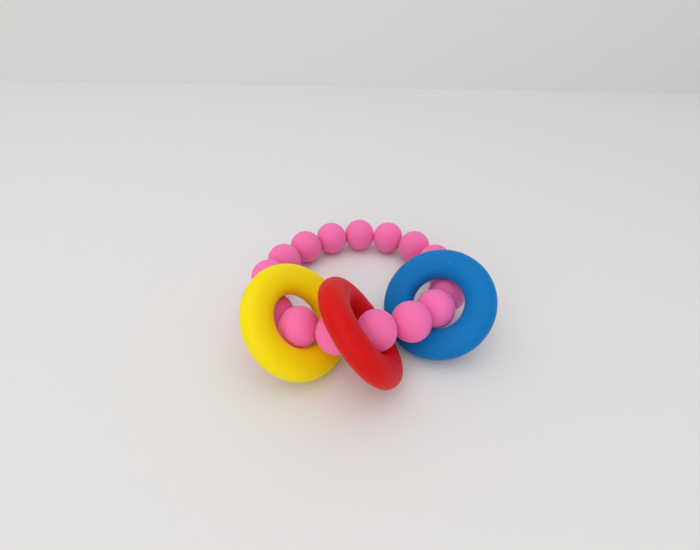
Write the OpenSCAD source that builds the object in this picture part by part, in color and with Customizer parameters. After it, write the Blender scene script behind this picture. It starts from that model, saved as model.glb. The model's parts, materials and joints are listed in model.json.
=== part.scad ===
// Teething ring: a loop of round silicone beads on a knotted cord, with three
// loose silicone rings threaded on the beads. It lies as it is set down on a
// table: the back of the loop on the table, the front lifted by the rings.
// The origin is on the table, under the middle of the whole object. The three
// rings are at the front, towards -Y, and the back of the loop is towards +Y.

/* [Beads] */
// Diameter of a bead across its cord hole
bead_d = 15; // [14.8:0.1:15]
// Length of a bead along its cord hole
bead_len = 13.4; // [12.6:0.1:13.4]
// Diameter of the cord hole in a plain bead
bead_bore_d = 2.5; // [2:0.1:3]
// Diameter of the wider hole in the bead that hides the knot
knot_bore_d = 4.8; // [4.6:0.1:5.4]
// Width of the rounded-off lip round each hole's mouth
mouth_lip = 0.45; // [0.2:0.05:0.6]
// Cord length from one bead's middle to the next one's
bead_pitch = 14.3; // [14.3:0.05:14.5]

/* [Cord] */
// Diameter of the cord
cord_d = 1.5; // [1:0.1:1.6]
// Thickness of the cord where it is pulled tight in the knot
knot_strand_d = 1.2; // [1:0.1:1.3]
// Turns of cord in the knot
knot_turns = 3; // [2:1:4]
// Length of each trimmed tail beyond the knot's turns
knot_tail = 1.8; // [0.8:0.1:2.4]

/* [Shape of the loop] */
// How far the loop is from round: its radius grows and shrinks by this share
loop_oval = 0.058; // [0.05:0.002:0.062]
// Direction of the loop's long axis, in degrees clockwise from the back
oval_turn = 47; // [45:0.5:49]
// Height by which the rings lift the front beads off the table
front_lift = 11.1; // [11:0.05:11.3]
// Angle from the back, either way, at which the beads leave the table
lift_start = 56; // [54:1:58]
// Direction of the highest point, in degrees clockwise from the back
lift_peak = 172; // [171:0.5:173]
// Direction of the first joint between two beads, in degrees clockwise from the back
first_turn = -98.4; // [-98.8:0.1:-98]

/* [Rings] */
// Outside diameter of a ring
ring_od = 43.3; // [42.9:0.1:43.3]
// Diameter of the hole through a ring
ring_hole_d = 20.5; // [20.5:0.1:21]
// Thickness of a ring
ring_thick = 9.2; // [8.6:0.1:9.2]

/* [Yellow ring] */
// Place of the yellow ring's middle across the loop
yellow_x = -21.8; // [-22:0.1:-21.6]
// Place of the yellow ring's middle along the loop
yellow_y = -31.3; // [-31.5:0.1:-31.1]
// Direction that the yellow ring faces, in degrees anticlockwise from +X
yellow_facing = -25.7; // [-26.5:0.1:-25]
// Angle by which the yellow ring leans over from upright
yellow_lean = 47; // [46.5:0.1:47.5]

/* [Red ring] */
// Place of the red ring's middle across the loop
red_x = 1.4; // [1.2:0.1:1.6]
// Place of the red ring's middle along the loop
red_y = -37; // [-37.2:0.1:-36.8]
// Direction that the red ring faces, in degrees anticlockwise from +X
red_facing = 14.5; // [14:0.1:15]
// Angle by which the red ring leans over from upright
red_lean = 36.3; // [36:0.1:36.6]

/* [Blue ring] */
// Place of the blue ring's middle across the loop
blue_x = 30.7; // [30.5:0.1:30.9]
// Place of the blue ring's middle along the loop
blue_y = -18; // [-18.2:0.1:-17.8]
// Direction that the blue ring faces, in degrees anticlockwise from +X
blue_facing = -131; // [-131.5:0.1:-130.5]
// Angle by which the blue ring leans over from upright
blue_lean = 50.6; // [50.3:0.1:50.9]

/* [Hidden] */
$fn = 72;

// The string holds this many beads, and the one at knot_place hides the knot.
bead_count = 17;
knot_place = 8;

// A bead is a flat disc of radius bead_core grown by bead_round all round, so
// it is a ball with slightly flattened ends.
bead_round = bead_len / 2;
bead_core = (bead_d - bead_len) / 2;

// A ring's section is two round edges joined by a short flat on each face.
ring_round = ring_thick / 2;
ring_mid_r = (ring_od + ring_hole_d) / 4;
ring_flat = (ring_od - ring_hole_d) / 4 - ring_round;

knot_coil_r = cord_d / 2 + knot_strand_d / 2 + 0.06;
knot_half_len = knot_turns * knot_strand_d / 2;
knot_overlap = 0.12;
cord_sides = 12;

// The loop's line: a slightly oval plan, and a smooth rise to the front.
function smooth(t) = let (u = min(max(t, 0), 1)) u * u * (3 - 2 * u);
function off_peak(turn) = abs((turn - lift_peak + 540) % 360 - 180);
function lift(turn) = front_lift * smooth((180 - lift_start - off_peak(turn)) / (180 - lift_start));
function reach(turn, size) = size * (1 + loop_oval * cos(2 * (turn - oval_turn)));
function loop_point(turn, size) = [
    reach(turn, size) * sin(turn),
    reach(turn, size) * cos(turn),
    bead_d / 2 + lift(turn)
];

// Each joint between two beads is one bead_pitch from the last, in a straight
// line, because the cord is straight inside a bead.
function joint_gap(from, to, size) = norm(loop_point(to, size) - loop_point(from, size));
function refine(from, to, size, tries) =
    tries == 0 ? to
    : refine(from, from + (to - from) * bead_pitch / joint_gap(from, to, size), size, tries - 1);
function next_turn(from, size) = refine(from, from + bead_pitch / size * 180 / PI, size, 6);
function joint_turns(size, count) =
    count == 0 ? [first_turn]
    : let (before = joint_turns(size, count - 1))
        concat(before, next_turn(before[count - 1], size));

// The loop is the size at which the last joint meets the first.
function overrun(size) = joint_turns(size, bead_count)[bead_count] - first_turn - 360;
function closing_size(size, tries) =
    tries == 0 ? size : closing_size(size * (360 + overrun(size)) / 360, tries - 1);
loop_size = closing_size(bead_pitch * bead_count / (2 * PI), 8);
turns = joint_turns(loop_size, bead_count);
joints = [for (i = [0 : bead_count - 1]) loop_point(turns[i], loop_size)];

function joint_after(i) = joints[(i + 1) % bead_count];
function bead_middle(i) = (joints[i] + joint_after(i)) / 2;
function bead_axis(i) = (joint_after(i) - joints[i]) / norm(joint_after(i) - joints[i]);

// A leaning ring touches the table, which sets the height of its middle.
function ring_height(lean) = (ring_mid_r + ring_flat) * cos(lean) + ring_round;
function ring_normal(facing, lean) = [
    cos(lean) * cos(facing),
    cos(lean) * sin(facing),
    sin(lean)
];
ring_middles = [
    [yellow_x, yellow_y, ring_height(yellow_lean)],
    [red_x, red_y, ring_height(red_lean)],
    [blue_x, blue_y, ring_height(blue_lean)]
];
ring_normals = [
    ring_normal(yellow_facing, yellow_lean),
    ring_normal(red_facing, red_lean),
    ring_normal(blue_facing, blue_lean)
];

// How far a piece reaches from its middle along X (0) or Y (1), and the shift
// that brings the middle of the whole object over the origin.
function across(axis, k) = sqrt(1 - axis[k] * axis[k]);
function bead_reach(i, k) = bead_round + bead_core * across(bead_axis(i), k);
function ring_reach(i, k) = ring_round + (ring_mid_r + ring_flat) * across(ring_normals[i], k);
function high(k) = max(concat(
    [for (i = [0 : bead_count - 1]) bead_middle(i)[k] + bead_reach(i, k)],
    [for (i = [0 : 2]) ring_middles[i][k] + ring_reach(i, k)]
));
function low(k) = min(concat(
    [for (i = [0 : bead_count - 1]) bead_middle(i)[k] - bead_reach(i, k)],
    [for (i = [0 : 2]) ring_middles[i][k] - ring_reach(i, k)]
));
to_origin = -[(high(0) + low(0)) / 2, (high(1) + low(1)) / 2, 0];

// The cord's tube: the points round each joint, and the faces between them.
function along(i) = bead_axis((i + bead_count - 1) % bead_count) + bead_axis(i);
function sideways(i) = let (s = cross(along(i), [0, 0, 1])) s / norm(s);
function upwards(i) = let (u = cross(sideways(i), along(i))) u / norm(u);
function cord_point(i, k) = let (a = 360 * k / cord_sides)
    joints[i] + cord_d / 2 * (cos(a) * sideways(i) + sin(a) * upwards(i));
function cord_index(i, k) = (i % bead_count) * cord_sides + k % cord_sides;
function cord_face(i, k) = [
    cord_index(i, k),
    cord_index(i, k + 1),
    cord_index(i + 1, k + 1),
    cord_index(i + 1, k)
];

bead_pink = "#F075AB";
cord_pink = "#D9568F";
ring_yellow = "#EDD01C";
ring_red = "#D32322";
ring_blue = "#0E77B8";

function two_digits(i) = i < 10 ? str("0", i) : str(i);
function bead_name(i) = i == knot_place ? "knot_bead" : str("bead_", two_digits(i + 1));

// Puts a shape made round the Z axis at a place, with Z along the direction.
module aim(place, direction) {
    flat_reach = norm([direction[0], direction[1]]);
    translate(place + to_origin)
        rotate([0, atan2(flat_reach, direction[2]), atan2(direction[1], direction[0])])
            children();
}

module bead_solid() {
    rotate_extrude()
        union() {
            intersection() {
                translate([bead_core, 0])
                    circle(r = bead_round);
                translate([bead_core, -bead_round])
                    square([bead_round, bead_len]);
            }
            translate([0, -bead_round])
                square([bead_core, bead_len]);
        }
}

module bore(hole_d) {
    lip_r = hole_d / 2 + mouth_lip;
    cylinder(h = bead_len + 2, d = hole_d, center = true);
    for (end = [0, 1])
        mirror([0, 0, end])
            translate([0, 0, bead_round - mouth_lip])
                cylinder(h = 2 * mouth_lip, r1 = hole_d / 2, r2 = lip_r + mouth_lip);
}

module bead(i) {
    hole_d = i == knot_place ? knot_bore_d : bead_bore_d;
    color(bead_pink)
        aim(bead_middle(i), bead_axis(i))
            difference() {
                bead_solid();
                bore(hole_d);
            }
}

// The cord runs straight through each bead and bends between them, so it is a
// closed tube with one ring of points at each joint.
module cord() {
    last = bead_count * cord_sides - 1;
    color(cord_pink)
        translate(to_origin)
            polyhedron(
                points = [for (k = [0 : last]) cord_point(floor(k / cord_sides), k % cord_sides)],
                faces = [for (k = [0 : last]) cord_face(floor(k / cord_sides), k % cord_sides)],
                convexity = 4
            );
}

// A barrel knot: the cord's two ends wrapped tightly round it, with their
// trimmed tails beside it, inside the bead with the wider hole.
module cord_knot() {
    first_coil = -knot_half_len + knot_strand_d / 2;
    coil_step = knot_strand_d - knot_overlap;
    color(cord_pink)
        aim(bead_middle(knot_place), bead_axis(knot_place))
            union() {
                for (turn = [0 : knot_turns - 1])
                    translate([0, 0, first_coil + turn * coil_step])
                        rotate_extrude()
                            translate([knot_coil_r, 0])
                                circle(d = knot_strand_d);
                for (side = [0, 1])
                    mirror([0, 0, side])
                        translate([side == 0 ? knot_coil_r : -knot_coil_r, 0, 0])
                            cylinder(h = knot_half_len + knot_tail, d = knot_strand_d);
            }
}

module ring(i, shade) {
    color(shade)
        aim(ring_middles[i], ring_normals[i])
            rotate_extrude()
                union() {
                    for (edge = [-ring_flat, ring_flat])
                        translate([ring_mid_r + edge, 0])
                            circle(r = ring_round);
                    translate([ring_mid_r - ring_flat, -ring_round])
                        square([2 * ring_flat, ring_thick]);
                }
}

module yellow_ring() {
    ring(0, ring_yellow);
}

module red_ring() {
    ring(1, ring_red);
}

module blue_ring() {
    ring(2, ring_blue);
}

cord();
cord_knot();
yellow_ring();
red_ring();
blue_ring();
for (i = [0 : bead_count - 1])
    bead(i);
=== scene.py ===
import json
import math

import bpy
from mathutils import Matrix, Vector


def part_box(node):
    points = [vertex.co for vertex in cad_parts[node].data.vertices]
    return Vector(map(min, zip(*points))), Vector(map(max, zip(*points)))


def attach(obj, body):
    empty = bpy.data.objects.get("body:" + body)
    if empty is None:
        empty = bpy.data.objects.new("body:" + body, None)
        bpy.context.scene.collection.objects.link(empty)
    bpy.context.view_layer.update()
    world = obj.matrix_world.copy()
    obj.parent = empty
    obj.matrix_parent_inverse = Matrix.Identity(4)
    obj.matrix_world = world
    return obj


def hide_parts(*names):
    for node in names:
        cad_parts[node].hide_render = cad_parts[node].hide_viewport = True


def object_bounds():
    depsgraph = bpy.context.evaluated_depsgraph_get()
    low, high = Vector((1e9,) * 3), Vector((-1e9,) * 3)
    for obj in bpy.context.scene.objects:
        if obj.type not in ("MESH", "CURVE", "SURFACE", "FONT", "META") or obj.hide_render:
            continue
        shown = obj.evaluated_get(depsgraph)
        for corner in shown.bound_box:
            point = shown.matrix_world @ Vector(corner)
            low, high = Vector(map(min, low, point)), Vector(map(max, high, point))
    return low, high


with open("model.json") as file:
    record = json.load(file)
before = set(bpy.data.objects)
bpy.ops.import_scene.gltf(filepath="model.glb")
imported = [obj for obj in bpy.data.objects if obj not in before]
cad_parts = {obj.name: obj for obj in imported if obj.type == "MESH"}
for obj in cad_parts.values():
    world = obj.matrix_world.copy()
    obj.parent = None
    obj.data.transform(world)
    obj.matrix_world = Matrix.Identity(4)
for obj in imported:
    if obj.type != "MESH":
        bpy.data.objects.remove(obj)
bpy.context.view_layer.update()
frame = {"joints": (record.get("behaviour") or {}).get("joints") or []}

# The plain transform keeps the pigments as bright as the hex values say.
bpy.context.scene.view_settings.view_transform = "Standard"

# Everything below is in metres, in the frame's own axes: the table is z = 0,
# the three rings are towards -Y and the back of the bead loop is towards +Y.
MM = 0.001

# ---------------------------------------------------------------- sizes

# Beads: a flat disc grown by the same roundness all over, so a ball with
# slightly flattened ends round the cord hole.
BEAD_ACROSS = 15.0 * MM
BEAD_LENGTH = 13.94 * MM
HALF_PITCH = 14.3 * MM / 2
HOLE_MOUTH = 1.54 * MM
HOLE_LIP = 0.15 * MM
KNOT_HOLLOW = 4.8 * MM
KNOT_HOLLOW_HALF = 4.6 * MM
BEAD_STEPS = 112
WALL_STEPS = 26
LIP_STEPS = 8

# Rings: an oval section that is a little fuller than an ellipse.
RING_OUTSIDE = 43.3 * MM
RING_HOLE = 20.1 * MM
RING_THICK = 9.2 * MM
RING_FULLNESS = 2.25
RING_STEPS = 224
SECTION_POINTS = 88

# The two halves of the mould leave a fine raised line round each piece. The
# steps are the angles from it, in degrees, at which a section has points, and
# the gap to the next point of a bead's section comes after them.
SEAM_HEIGHT = 0.05 * MM
SEAM_WIDTH = 0.15 * MM
SEAM_STEPS = (0.5, 1.1, 1.8, 2.8)
SEAM_TO_WALL = 1.2
RING_SEAM_STEPS = SEAM_STEPS[:3]

# Cord: three strands laid round each other.
STRANDS = 3
STRAND_RADIUS = 0.35 * MM
STRAND_OFFSET = 0.39 * MM
LAY_LENGTH = 5.0 * MM
CORD_STEP = 0.35 * MM
CORD_BEND = 4.0 * MM
BEND_POINTS = 6
STRAND_SIDES = 10

# Knot: the cord pulled tight, three turns and two trimmed tails.
KNOT_TURNS = 3
KNOT_STRAND_RADIUS = 0.28 * MM
KNOT_STRAND_OFFSET = 0.31 * MM
KNOT_COIL_RADIUS = 1.41 * MM
KNOT_COIL_STEP = 1.2 * MM
KNOT_TAIL = 1.7 * MM
KNOT_POINTS_A_TURN = 24
KNOT_LAYS = 8
KNOT_BEND = 0.5 * MM
KNOT_STEP = 0.25 * MM

# Silicone: the width at which each pattern is drawn, and how far it goes.
CLOUD_WIDTH = 9 * MM
CLOUD_SHARE = 0.22
POLISH_WIDTH = 4 * MM
POLISH_RANGE = 0.08
GRAIN_WIDTH = 0.4 * MM
GRAIN_HEIGHT = 0.04 * MM
WAVE_WIDTH = 6 * MM
WAVE_HEIGHT = 0.15 * MM
GLOW_DEPTH = 2.2 * MM
LINT_COLOUR = "#F4E9E4"

# Cord filaments and the board's fibres, in the same way.
FILAMENT_WIDTH = 0.08 * MM
FILAMENT_HEIGHT = 0.03 * MM
PAPER_WIDTH = 3 * MM
PAPER_HEIGHT = 0.05 * MM

# Spacing, radius as a share of it, share of places left clean, and strength:
# lint about 0.35 mm across, then finer dust about 0.2 mm across.
SPECKS = (
    (3.5 * MM, 0.05, 0.88, 0.6),
    (1.1 * MM, 0.09, 0.6, 0.12),
)

# ---------------------------------------------------------------- small helpers


def linear(hex_colour):
    """An sRGB hex colour as linear red, green, blue and alpha."""
    channels = [int(hex_colour[i : i + 2], 16) / 255 for i in (1, 3, 5)]
    return [
        c / 12.92 if c <= 0.04045 else ((c + 0.055) / 1.055) ** 2.4 for c in channels
    ] + [1.0]


def add_node(tree, kind, settings=None, inputs=None):
    """Adds a node, sets its properties, and sets or links its inputs."""
    node = tree.nodes.new(kind)
    for name, value in (settings or {}).items():
        setattr(node, name, value)
    for name, value in (inputs or {}).items():
        socket = node.inputs[name]
        if isinstance(value, bpy.types.NodeSocket):
            tree.links.new(value, socket)
        else:
            socket.default_value = value
    return node


def joint_of(body):
    """The joint that holds a body, as the frame states it."""
    return next(j for j in frame["joints"] if j["child"] == body)


def turned_to(direction):
    """The rotation that stands +Z along a direction."""
    return Vector(direction).to_track_quat("Z", "Y")


# ---------------------------------------------------------------- materials


def started(name):
    """A bare material, its node tree, and the place of a point on a piece."""
    material = bpy.data.materials.new(name)
    material.use_nodes = True
    tree = material.node_tree
    tree.nodes.clear()
    place = add_node(tree, "ShaderNodeTexCoord").outputs["Object"]
    return material, tree, place


def coated_with(tree, inputs):
    """Ends a material's tree with its shader, set from the inputs."""
    shader = add_node(tree, "ShaderNodeBsdfPrincipled", inputs=inputs)
    add_node(
        tree, "ShaderNodeOutputMaterial", inputs={"Surface": shader.outputs["BSDF"]}
    )


def silicone(name, face, deep, roughness, glow):
    """Moulded silicone rubber, from a bead-blasted mould.

    It gives the eye a velvety, even colour with wide soft highlights, light
    that sinks in a little, and a very fine grain. Here and there it holds a
    speck of lint, as silicone does.
    """
    material, tree, place = started(name)

    # Pigment that isn't quite evenly mixed, in wide clouds.
    clouds = add_node(
        tree,
        "ShaderNodeTexNoise",
        {"noise_dimensions": "3D"},
        {"Vector": place, "Scale": 1 / CLOUD_WIDTH, "Detail": 3.0, "Roughness": 0.5},
    )
    cloud_share = add_node(
        tree,
        "ShaderNodeMapRange",
        inputs={
            "Value": clouds.outputs["Fac"],
            "From Min": 0.35,
            "From Max": 0.65,
            "To Min": 0.0,
            "To Max": CLOUD_SHARE,
        },
    )
    pigment = add_node(
        tree,
        "ShaderNodeMix",
        {"data_type": "RGBA"},
        {"Factor": cloud_share.outputs["Result"], "A": linear(face), "B": linear(deep)},
    )

    # A few specks of lint on a piece, and a thin scatter of finer dust, which
    # silicone picks up from the table.
    dusted = pigment.outputs["Result"]
    for spacing, radius, clean, strength in SPECKS:
        patches = add_node(
            tree,
            "ShaderNodeTexVoronoi",
            {"feature": "F1"},
            {"Vector": place, "Scale": 1 / spacing, "Randomness": 1.0},
        )
        near = add_node(
            tree,
            "ShaderNodeMath",
            {"operation": "LESS_THAN"},
            {0: patches.outputs["Distance"], 1: radius},
        )
        draw = add_node(
            tree, "ShaderNodeSeparateColor", inputs={"Color": patches.outputs["Color"]}
        )
        chosen = add_node(
            tree,
            "ShaderNodeMath",
            {"operation": "GREATER_THAN"},
            {0: draw.outputs["Red"], 1: clean},
        )
        speck = add_node(
            tree,
            "ShaderNodeMath",
            {"operation": "MULTIPLY"},
            {0: near.outputs[0], 1: chosen.outputs[0]},
        )
        share = add_node(
            tree,
            "ShaderNodeMath",
            {"operation": "MULTIPLY"},
            {0: speck.outputs[0], 1: strength},
        )
        dusted = add_node(
            tree,
            "ShaderNodeMix",
            {"data_type": "RGBA"},
            {"Factor": share.outputs[0], "A": dusted, "B": linear(LINT_COLOUR)},
        ).outputs["Result"]

    # Handling polishes some patches, so the highlights are slightly uneven.
    polish = add_node(
        tree,
        "ShaderNodeTexNoise",
        {"noise_dimensions": "3D"},
        {"Vector": place, "Scale": 1 / POLISH_WIDTH, "Detail": 2.0},
    )
    rough = add_node(
        tree,
        "ShaderNodeMapRange",
        inputs={
            "Value": polish.outputs["Fac"],
            "From Min": 0.3,
            "From Max": 0.7,
            "To Min": roughness - POLISH_RANGE,
            "To Max": roughness + POLISH_RANGE,
        },
    )

    # The blasted mould's grain is about 0.1 mm, drawn at 0.4 mm so it shows.
    grain = add_node(
        tree,
        "ShaderNodeTexNoise",
        {"noise_dimensions": "3D"},
        {"Vector": place, "Scale": 1 / GRAIN_WIDTH, "Detail": 2.0, "Roughness": 0.6},
    )
    grain_bump = add_node(
        tree,
        "ShaderNodeBump",
        inputs={
            "Height": grain.outputs["Fac"],
            "Strength": 0.6,
            "Distance": GRAIN_HEIGHT,
        },
    )

    # Faint waves break up the faces, so no highlight is perfectly smooth.
    waves = add_node(
        tree,
        "ShaderNodeTexNoise",
        {"noise_dimensions": "3D"},
        {"Vector": place, "Scale": 1 / WAVE_WIDTH, "Detail": 1.0},
    )
    bump = add_node(
        tree,
        "ShaderNodeBump",
        inputs={
            "Height": waves.outputs["Fac"],
            "Strength": 0.3,
            "Distance": WAVE_HEIGHT,
            "Normal": grain_bump.outputs["Normal"],
        },
    )

    coated_with(
        tree,
        {
            "Base Color": dusted,
            "Roughness": rough.outputs["Result"],
            "Normal": bump.outputs["Normal"],
            "IOR": 1.41,
            "Specular IOR Level": 0.2,
            "Subsurface Weight": 0.6,
            "Subsurface Radius": glow,
            "Subsurface Scale": GLOW_DEPTH,
            "Sheen Weight": 0.02,
            "Sheen Roughness": 0.5,
        },
    )
    return material


def polyester_cord():
    """Twisted polyester cord, dyed pink.

    Its fine filaments give a soft sheen along each strand and dark lines
    where the strands meet.
    """
    material, tree, place = started("twisted_polyester_cord_pink")

    # Filaments are about 0.02 mm, drawn at 0.08 mm so they show.
    filaments = add_node(
        tree,
        "ShaderNodeTexNoise",
        {"noise_dimensions": "3D"},
        {"Vector": place, "Scale": 1 / FILAMENT_WIDTH, "Detail": 2.0},
    )
    dye = add_node(
        tree,
        "ShaderNodeMix",
        {"data_type": "RGBA"},
        {
            "Factor": filaments.outputs["Fac"],
            "A": linear("#E2609A"),
            "B": linear("#F67DB6"),
        },
    )
    bump = add_node(
        tree,
        "ShaderNodeBump",
        inputs={
            "Height": filaments.outputs["Fac"],
            "Strength": 0.5,
            "Distance": FILAMENT_HEIGHT,
        },
    )
    coated_with(
        tree,
        {
            "Base Color": dye.outputs["Result"],
            "Roughness": 0.65,
            "Normal": bump.outputs["Normal"],
            "Sheen Weight": 0.3,
            "Sheen Roughness": 0.4,
        },
    )
    return material


def plain_paper(name, colour, roughness):
    """Smooth matt board: an even pale tone with no gloss."""
    material, tree, place = started(name)
    fibres = add_node(
        tree,
        "ShaderNodeTexNoise",
        {"noise_dimensions": "3D"},
        {"Vector": place, "Scale": 1 / PAPER_WIDTH, "Detail": 4.0},
    )
    bump = add_node(
        tree,
        "ShaderNodeBump",
        inputs={
            "Height": fibres.outputs["Fac"],
            "Strength": 0.05,
            "Distance": PAPER_HEIGHT,
        },
    )
    coated_with(
        tree,
        {
            "Base Color": linear(colour),
            "Roughness": roughness,
            "Normal": bump.outputs["Normal"],
            "Specular IOR Level": 0.2,
        },
    )
    return material


pink_silicone = silicone(
    "moulded_silicone_pink", "#FA7BB7", "#F76FAE", 0.52, (1.0, 0.35, 0.4)
)
yellow_silicone = silicone(
    "moulded_silicone_yellow", "#FBDF03", "#F8D700", 0.45, (1.0, 0.7, 0.15)
)
red_silicone = silicone(
    "moulded_silicone_red", "#D70B0D", "#CD080D", 0.45, (1.0, 0.15, 0.1)
)
blue_silicone = silicone(
    "moulded_silicone_blue", "#007ABF", "#0074B9", 0.45, (0.15, 0.4, 1.0)
)
cord_finish = polyester_cord()

# ---------------------------------------------------------------- node trees


def new_tree(name, inputs):
    """A geometry node tree with one mesh output and the named inputs."""
    tree = bpy.data.node_groups.new(name, "GeometryNodeTree")
    tree.interface.new_socket(
        "Geometry", in_out="OUTPUT", socket_type="NodeSocketGeometry"
    )
    for label, kind in inputs:
        tree.interface.new_socket(label, in_out="INPUT", socket_type=kind)
    return tree


def finish_tree(tree, geometry, group_in):
    """Ends a tree: real meshes, smooth shading, and the piece's material."""
    real = add_node(
        tree, "GeometryNodeRealizeInstances", inputs={"Geometry": geometry}
    )
    smooth = add_node(
        tree,
        "GeometryNodeSetShadeSmooth",
        inputs={"Geometry": real.outputs["Geometry"]},
    )
    coated = add_node(
        tree,
        "GeometryNodeSetMaterial",
        inputs={
            "Geometry": smooth.outputs["Geometry"],
            "Material": group_in.outputs["Material"],
        },
    )
    add_node(tree, "NodeGroupOutput", inputs={"Geometry": coated.outputs["Geometry"]})


def turned_piece_tree():
    """Turns a section round its axis, then puts the piece in its place."""
    tree = new_tree(
        "Turned piece",
        [
            ("Section", "NodeSocketObject"),
            ("Guide Radius", "NodeSocketFloat"),
            ("Steps", "NodeSocketInt"),
            ("Middle", "NodeSocketVector"),
            ("Turn", "NodeSocketRotation"),
            ("Material", "NodeSocketMaterial"),
        ],
    )
    group_in = add_node(tree, "NodeGroupInput")
    section = add_node(
        tree, "GeometryNodeObjectInfo", inputs={"Object": group_in.outputs["Section"]}
    )
    guide = add_node(
        tree,
        "GeometryNodeCurvePrimitiveCircle",
        {"mode": "RADIUS"},
        {
            "Resolution": group_in.outputs["Steps"],
            "Radius": group_in.outputs["Guide Radius"],
        },
    )
    upright = add_node(
        tree,
        "GeometryNodeSetCurveNormal",
        {"mode": "Z_UP"},
        {"Curve": guide.outputs["Curve"]},
    )
    swept = add_node(
        tree,
        "GeometryNodeCurveToMesh",
        inputs={
            "Curve": upright.outputs["Curve"],
            "Profile Curve": section.outputs["Geometry"],
        },
    )
    placed = add_node(
        tree,
        "GeometryNodeTransform",
        inputs={
            "Geometry": swept.outputs["Mesh"],
            "Translation": group_in.outputs["Middle"],
            "Rotation": group_in.outputs["Turn"],
        },
    )
    finish_tree(tree, placed.outputs["Geometry"], group_in)
    return tree


def laid_cord_tree():
    """Lays strands round each other along a route."""
    tree = new_tree(
        "Laid cord",
        [
            ("Route", "NodeSocketObject"),
            ("Strands", "NodeSocketInt"),
            ("Strand Radius", "NodeSocketFloat"),
            ("Strand Offset", "NodeSocketFloat"),
            ("Turns", "NodeSocketInt"),
            ("Bend Radius", "NodeSocketFloat"),
            ("Step", "NodeSocketFloat"),
            ("Material", "NodeSocketMaterial"),
        ],
    )
    group_in = add_node(tree, "NodeGroupInput")
    route = add_node(
        tree, "GeometryNodeObjectInfo", inputs={"Object": group_in.outputs["Route"]}
    )
    eased = add_node(
        tree,
        "GeometryNodeFilletCurve",
        {"mode": "POLY"},
        {
            "Curve": route.outputs["Geometry"],
            "Count": BEND_POINTS,
            "Radius": group_in.outputs["Bend Radius"],
            "Limit Radius": True,
        },
    )
    even = add_node(
        tree,
        "GeometryNodeResampleCurve",
        {"mode": "LENGTH"},
        {"Curve": eased.outputs["Curve"], "Length": group_in.outputs["Step"]},
    )
    strands = add_node(
        tree,
        "GeometryNodeDuplicateElements",
        {"domain": "SPLINE"},
        {"Geometry": even.outputs["Curve"], "Amount": group_in.outputs["Strands"]},
    )
    share = add_node(tree, "GeometryNodeSplineParameter")
    lay = add_node(
        tree,
        "ShaderNodeMath",
        {"operation": "MULTIPLY"},
        {0: share.outputs["Factor"], 1: group_in.outputs["Turns"]},
    )
    start = add_node(
        tree,
        "ShaderNodeMath",
        {"operation": "DIVIDE"},
        {0: strands.outputs["Duplicate Index"], 1: group_in.outputs["Strands"]},
    )
    turn = add_node(
        tree,
        "ShaderNodeMath",
        {"operation": "ADD"},
        {0: lay.outputs[0], 1: start.outputs[0]},
    )
    angle = add_node(
        tree,
        "ShaderNodeMath",
        {"operation": "MULTIPLY"},
        {0: turn.outputs[0], 1: math.tau},
    )
    outwards = add_node(
        tree,
        "ShaderNodeVectorRotate",
        {"rotation_type": "AXIS_ANGLE"},
        {
            "Vector": add_node(tree, "GeometryNodeInputNormal").outputs["Normal"],
            "Axis": add_node(tree, "GeometryNodeInputTangent").outputs["Tangent"],
            "Angle": angle.outputs[0],
        },
    )
    shift = add_node(
        tree,
        "ShaderNodeVectorMath",
        {"operation": "SCALE"},
        {
            "Vector": outwards.outputs["Vector"],
            "Scale": group_in.outputs["Strand Offset"],
        },
    )
    twisted = add_node(
        tree,
        "GeometryNodeSetPosition",
        inputs={
            "Geometry": strands.outputs["Geometry"],
            "Offset": shift.outputs["Vector"],
        },
    )
    outline = add_node(
        tree,
        "GeometryNodeCurvePrimitiveCircle",
        {"mode": "RADIUS"},
        {"Resolution": STRAND_SIDES, "Radius": group_in.outputs["Strand Radius"]},
    )
    tube = add_node(
        tree,
        "GeometryNodeCurveToMesh",
        inputs={
            "Curve": twisted.outputs["Geometry"],
            "Profile Curve": outline.outputs["Curve"],
            "Fill Caps": True,
        },
    )
    finish_tree(tree, tube.outputs["Mesh"], group_in)
    return tree


def grown(name, tree, values):
    """Runs a node tree with its inputs set by name, and keeps the mesh."""
    holder = bpy.data.objects.new(name + "_holder", bpy.data.meshes.new(name))
    bpy.context.scene.collection.objects.link(holder)
    modifier = holder.modifiers.new("grow", "NODES")
    modifier.node_group = tree
    sockets = {
        item.name: item.identifier
        for item in tree.interface.items_tree
        if item.item_type == "SOCKET" and item.in_out == "INPUT"
    }
    for label, value in values.items():
        modifier[sockets[label]] = value
    bpy.context.view_layer.update()
    evaluated = holder.evaluated_get(bpy.context.evaluated_depsgraph_get())
    mesh = bpy.data.meshes.new_from_object(evaluated)
    bpy.data.objects.remove(holder)
    mesh.name = name
    piece = bpy.data.objects.new(name, mesh)
    bpy.context.scene.collection.objects.link(piece)
    return piece


def line_object(name, points, closed):
    """A straight-sided curve through the points, for a tree to read."""
    curve = bpy.data.curves.new(name, "CURVE")
    curve.dimensions = "3D"
    spline = curve.splines.new("POLY")
    spline.points.add(len(points) - 1)
    for point, place in zip(spline.points, points):
        point.co = (*place, 1.0)
    spline.use_cyclic_u = closed
    line = bpy.data.objects.new(name, curve)
    bpy.context.scene.collection.objects.link(line)
    return line


turned_piece = turned_piece_tree()
laid_cord = laid_cord_tree()

# ---------------------------------------------------------------- sections


def arc(middle, radius, start, end, count):
    """Points along an arc, from one angle to another, in degrees."""
    points = []
    for i in range(count + 1):
        angle = math.radians(start + (end - start) * i / count)
        points.append(
            (
                middle[0] + radius * math.cos(angle),
                middle[1] + radius * math.sin(angle),
            )
        )
    return points


def seam(distance):
    """Height of the mould line at a distance along the surface from it."""
    return SEAM_HEIGHT * math.exp(-((distance / SEAM_WIDTH) ** 2))


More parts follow.
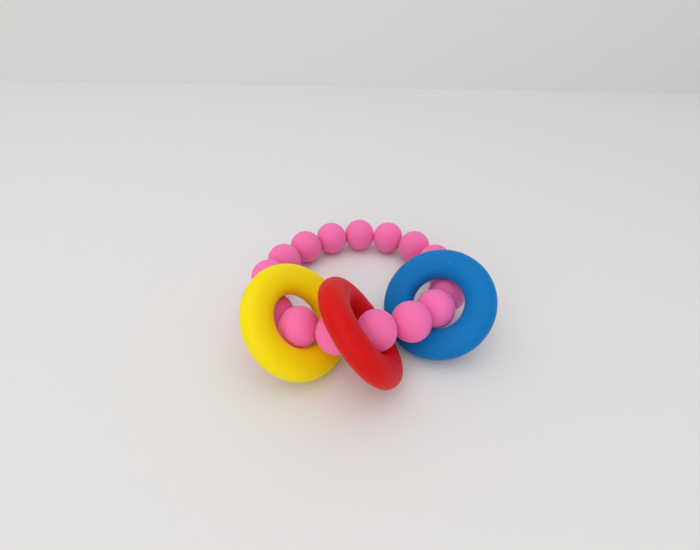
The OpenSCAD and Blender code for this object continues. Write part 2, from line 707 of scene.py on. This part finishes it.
def bead_section(holds_knot):
    """The bead's wall from its hole to its outside: distance out, and along.

    The knot's bead has stretched into a hollow behind its two mouths.
    """
    roundness = BEAD_LENGTH / 2
    core = (BEAD_ACROSS - BEAD_LENGTH) / 2
    lip_out = HOLE_MOUTH / 2 + HOLE_LIP
    lean = math.degrees(math.acos((lip_out - core) / (roundness - HOLE_LIP)))
    lip_up = (roundness - HOLE_LIP) * math.sin(math.radians(lean))
    wall_end = SEAM_STEPS[-1] + SEAM_TO_WALL
    wall = [lean + (wall_end - lean) * i / WALL_STEPS for i in range(WALL_STEPS + 1)]
    upper = wall + list(SEAM_STEPS[::-1])
    angles = upper + [0] + [-angle for angle in upper[::-1]]
    outside = []
    for angle in angles:
        (out, up) = arc((core, 0), roundness, angle, angle, 1)[0]
        outside.append((out + seam(up), up))
    lower_lip = arc((lip_out, -lip_up), HOLE_LIP, -lean, -180, LIP_STEPS)
    upper_lip = arc((lip_out, lip_up), HOLE_LIP, 180, lean, LIP_STEPS)
    hollow = []
    if holds_knot:
        deep, wide = KNOT_HOLLOW_HALF, KNOT_HOLLOW / 2
        bend = wide - HOLE_MOUTH / 2
        hollow = arc((HOLE_MOUTH / 2, -deep + bend), bend, -90, 0, LIP_STEPS)
        hollow += arc((HOLE_MOUTH / 2, deep - bend), bend, 0, 90, LIP_STEPS)
    return outside + lower_lip[1:] + hollow + upper_lip[:-1]


def ring_section():
    """The ring's oval section: distance out from the axis, and along it."""
    middle = (RING_OUTSIDE + RING_HOLE) / 4
    half_wide = (RING_OUTSIDE - RING_HOLE) / 4
    half_thick = RING_THICK / 2
    power = 2 / RING_FULLNESS
    turns = [360 * i / SECTION_POINTS for i in range(SECTION_POINTS)]
    for step in RING_SEAM_STEPS:
        turns += [step, 180 - step, 180 + step, 360 - step]
    points = []
    for turn in sorted(turns, reverse=True):
        c, s = math.cos(math.radians(turn)), math.sin(math.radians(turn))
        out = math.copysign(abs(c) ** power, c) * half_wide
        up = math.copysign(abs(s) ** power, s) * half_thick
        out += math.copysign(seam(up), c)
        points.append((middle + out, up))
    return points


def turned(name, section, steps, middle, direction, material):
    """A piece made by turning a section round an axis through its middle."""
    guide = sum(out for out, up in section) / len(section)
    # Taken in this order round, the swept faces point outwards.
    outline = line_object(
        name + "_section", [(out - guide, up, 0) for out, up in section[::-1]], True
    )
    piece = grown(
        name,
        turned_piece,
        {
            "Section": outline,
            "Guide Radius": guide,
            "Steps": steps,
            "Middle": middle,
            "Turn": turned_to(direction).to_euler(),
            "Material": material,
        },
    )
    bpy.data.objects.remove(outline)
    return piece


# ---------------------------------------------------------------- beads

# In the order in which they come along the string.
bead_bodies = [j["child"] for j in frame["joints"] if "bead" in j["child"]]

for body in bead_bodies:
    spin = joint_of(body)
    bead = turned(
        "pink_" + body,
        bead_section(body == "knot_bead"),
        BEAD_STEPS,
        spin["pos_m"],
        spin["axis"],
        pink_silicone,
    )
    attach(bead, body)
    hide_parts(body)

# ---------------------------------------------------------------- rings

ring_finishes = {
    "yellow_ring": yellow_silicone,
    "red_ring": red_silicone,
    "blue_ring": blue_silicone,
}

for body, finish in ring_finishes.items():
    low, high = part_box(body)
    middle = (low + high) / 2
    lean = joint_of(body)
    upwards = (middle - Vector(lean["pos_m"])).normalized()
    facing = Vector(lean["axis"]).cross(upwards)
    ring = turned(
        "silicone_" + body,
        ring_section(),
        RING_STEPS,
        middle,
        facing,
        finish,
    )
    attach(ring, body)
    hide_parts(body)

# ---------------------------------------------------------------- cord and knot

corners = []
for body in bead_bodies:
    spin = joint_of(body)
    corners.append(Vector(spin["pos_m"]) - Vector(spin["axis"]) * HALF_PITCH)

route = line_object("cord_route", corners, True)
cord_length = 2 * HALF_PITCH * len(corners)
cord = grown(
    "twisted_cord",
    laid_cord,
    {
        "Route": route,
        "Strands": STRANDS,
        "Strand Radius": STRAND_RADIUS,
        "Strand Offset": STRAND_OFFSET,
        "Turns": round(cord_length / LAY_LENGTH),
        "Bend Radius": CORD_BEND,
        "Step": CORD_STEP,
        "Material": cord_finish,
    },
)
bpy.data.objects.remove(route)
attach(cord, "string")
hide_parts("cord")

knot_spin = joint_of("knot_bead")
knot_place = Matrix.Translation(knot_spin["pos_m"]) @ turned_to(
    knot_spin["axis"]
).to_matrix().to_4x4()
knot_height = KNOT_TURNS * KNOT_COIL_STEP
coil_points = KNOT_TURNS * KNOT_POINTS_A_TURN
knot_points = []
for i in range(coil_points + 1):
    share = i / coil_points
    angle = math.tau * KNOT_TURNS * share
    knot_points.append(
        knot_place
        @ Vector(
            (
                KNOT_COIL_RADIUS * math.cos(angle),
                KNOT_COIL_RADIUS * math.sin(angle),
                (share - 0.5) * knot_height,
            )
        )
    )
tail_start = Vector((KNOT_COIL_RADIUS, 0, -knot_height / 2 - KNOT_TAIL))
tail_end = Vector((KNOT_COIL_RADIUS, 0, knot_height / 2 + KNOT_TAIL))
knot_points = [knot_place @ tail_start] + knot_points + [knot_place @ tail_end]
knot_route = line_object("knot_route", knot_points, False)
knot = grown(
    "barrel_knot",
    laid_cord,
    {
        "Route": knot_route,
        "Strands": STRANDS,
        "Strand Radius": KNOT_STRAND_RADIUS,
        "Strand Offset": KNOT_STRAND_OFFSET,
        "Turns": KNOT_LAYS,
        "Bend Radius": KNOT_BEND,
        "Step": KNOT_STEP,
        "Material": cord_finish,
    },
)
bpy.data.objects.remove(knot_route)
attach(knot, "string")
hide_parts("cord_knot")

# ---------------------------------------------------------------- camera

LOOK_AT = Vector((-6.16, 12.22, 8.0)) * MM
CAMERA_RISE = math.radians(39.52)
CAMERA_DISTANCE = 187.5 * MM
CAMERA_ROLL = math.radians(2.45)
LENS = 22.11
SENSOR = 36.0
NEAREST_SEEN = 10 * MM

camera_data = bpy.data.cameras.new("camera")
camera_data.lens = LENS
camera_data.sensor_width = SENSOR
camera_data.sensor_fit = "HORIZONTAL"
camera_data.clip_start = NEAREST_SEEN
camera = bpy.data.objects.new("camera", camera_data)
bpy.context.scene.collection.objects.link(camera)
away = Vector((0, -math.cos(CAMERA_RISE), math.sin(CAMERA_RISE)))
right = Vector((1, 0, 0))
up = right.cross(-away)
rolled_right = math.cos(CAMERA_ROLL) * right + math.sin(CAMERA_ROLL) * up
rolled_up = math.cos(CAMERA_ROLL) * up - math.sin(CAMERA_ROLL) * right
turn = Matrix((rolled_right, rolled_up, away)).transposed()
stand = Matrix.Translation(LOOK_AT + away * CAMERA_DISTANCE)
camera.matrix_world = stand @ turn.to_4x4()
bpy.context.scene.camera = camera

# ---------------------------------------------------------------- stage

BOARD_HALF = 1.6
WALL_PLACE = 0.314
WALL_HEIGHT = 0.9
WALL_TURN = math.radians(4.5)
FLOOR_GAP = 0.01 * MM
WHITE = (1.0, 1.0, 1.0)
ORIGIN = (0, 0, 0)
ROOM_BRIGHTNESS = 0.62


def white_boards():
    """A pale floor and a pale wall behind it, a little askew."""
    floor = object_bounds()[0][2] - FLOOR_GAP
    left, right = Vector((-BOARD_HALF, 0, 0)), Vector((BOARD_HALF, 0, 0))
    forwards, upwards = Vector((0, -2 * BOARD_HALF, 0)), Vector((0, 0, WALL_HEIGHT))
    finish = plain_paper("matt_white_board", "#E5E4E3", 0.75)
    place = Matrix.Translation((0, WALL_PLACE, floor)) @ Matrix.Rotation(
        WALL_TURN, 4, "Z"
    )
    for name, corners in (
        ("floor_board", (left + forwards, right + forwards, right, left)),
        ("wall_board", (left, right, right + upwards, left + upwards)),
    ):
        mesh = bpy.data.meshes.new(name)
        mesh.from_pydata([place @ corner for corner in corners], [], [(0, 1, 2, 3)])
        mesh.materials.append(finish)
        board = bpy.data.objects.new(name, mesh)
        bpy.context.scene.collection.objects.link(board)


white_boards()


def soft_light(name, place, size, power):
    """A soft white box, in metres and watts, that points at the object."""
    data = bpy.data.lights.new(name, "AREA")
    data.shape = "RECTANGLE"
    data.size, data.size_y = size
    data.energy = power
    data.color = WHITE
    light = bpy.data.objects.new(name, data)
    light.location = place
    direction = Vector(ORIGIN) - Vector(place)
    light.rotation_euler = direction.to_track_quat("-Z", "Y").to_euler()
    bpy.context.scene.collection.objects.link(light)


soft_light("light_above", place=(-0.1, -0.02, 0.9), size=(1.2, 1.2), power=4.1)
soft_light("window_front", place=(-0.3, -0.8, 0.42), size=(0.9, 0.6), power=2.2)

world = bpy.data.worlds.new("soft_room")
bpy.context.scene.world = world
world.use_nodes = True
world.node_tree.nodes.clear()
sky = add_node(
    world.node_tree,
    "ShaderNodeBackground",
    inputs={"Color": linear("#F4F4F4"), "Strength": ROOM_BRIGHTNESS},
)
add_node(
    world.node_tree,
    "ShaderNodeOutputWorld",
    inputs={"Surface": sky.outputs["Background"]},
)
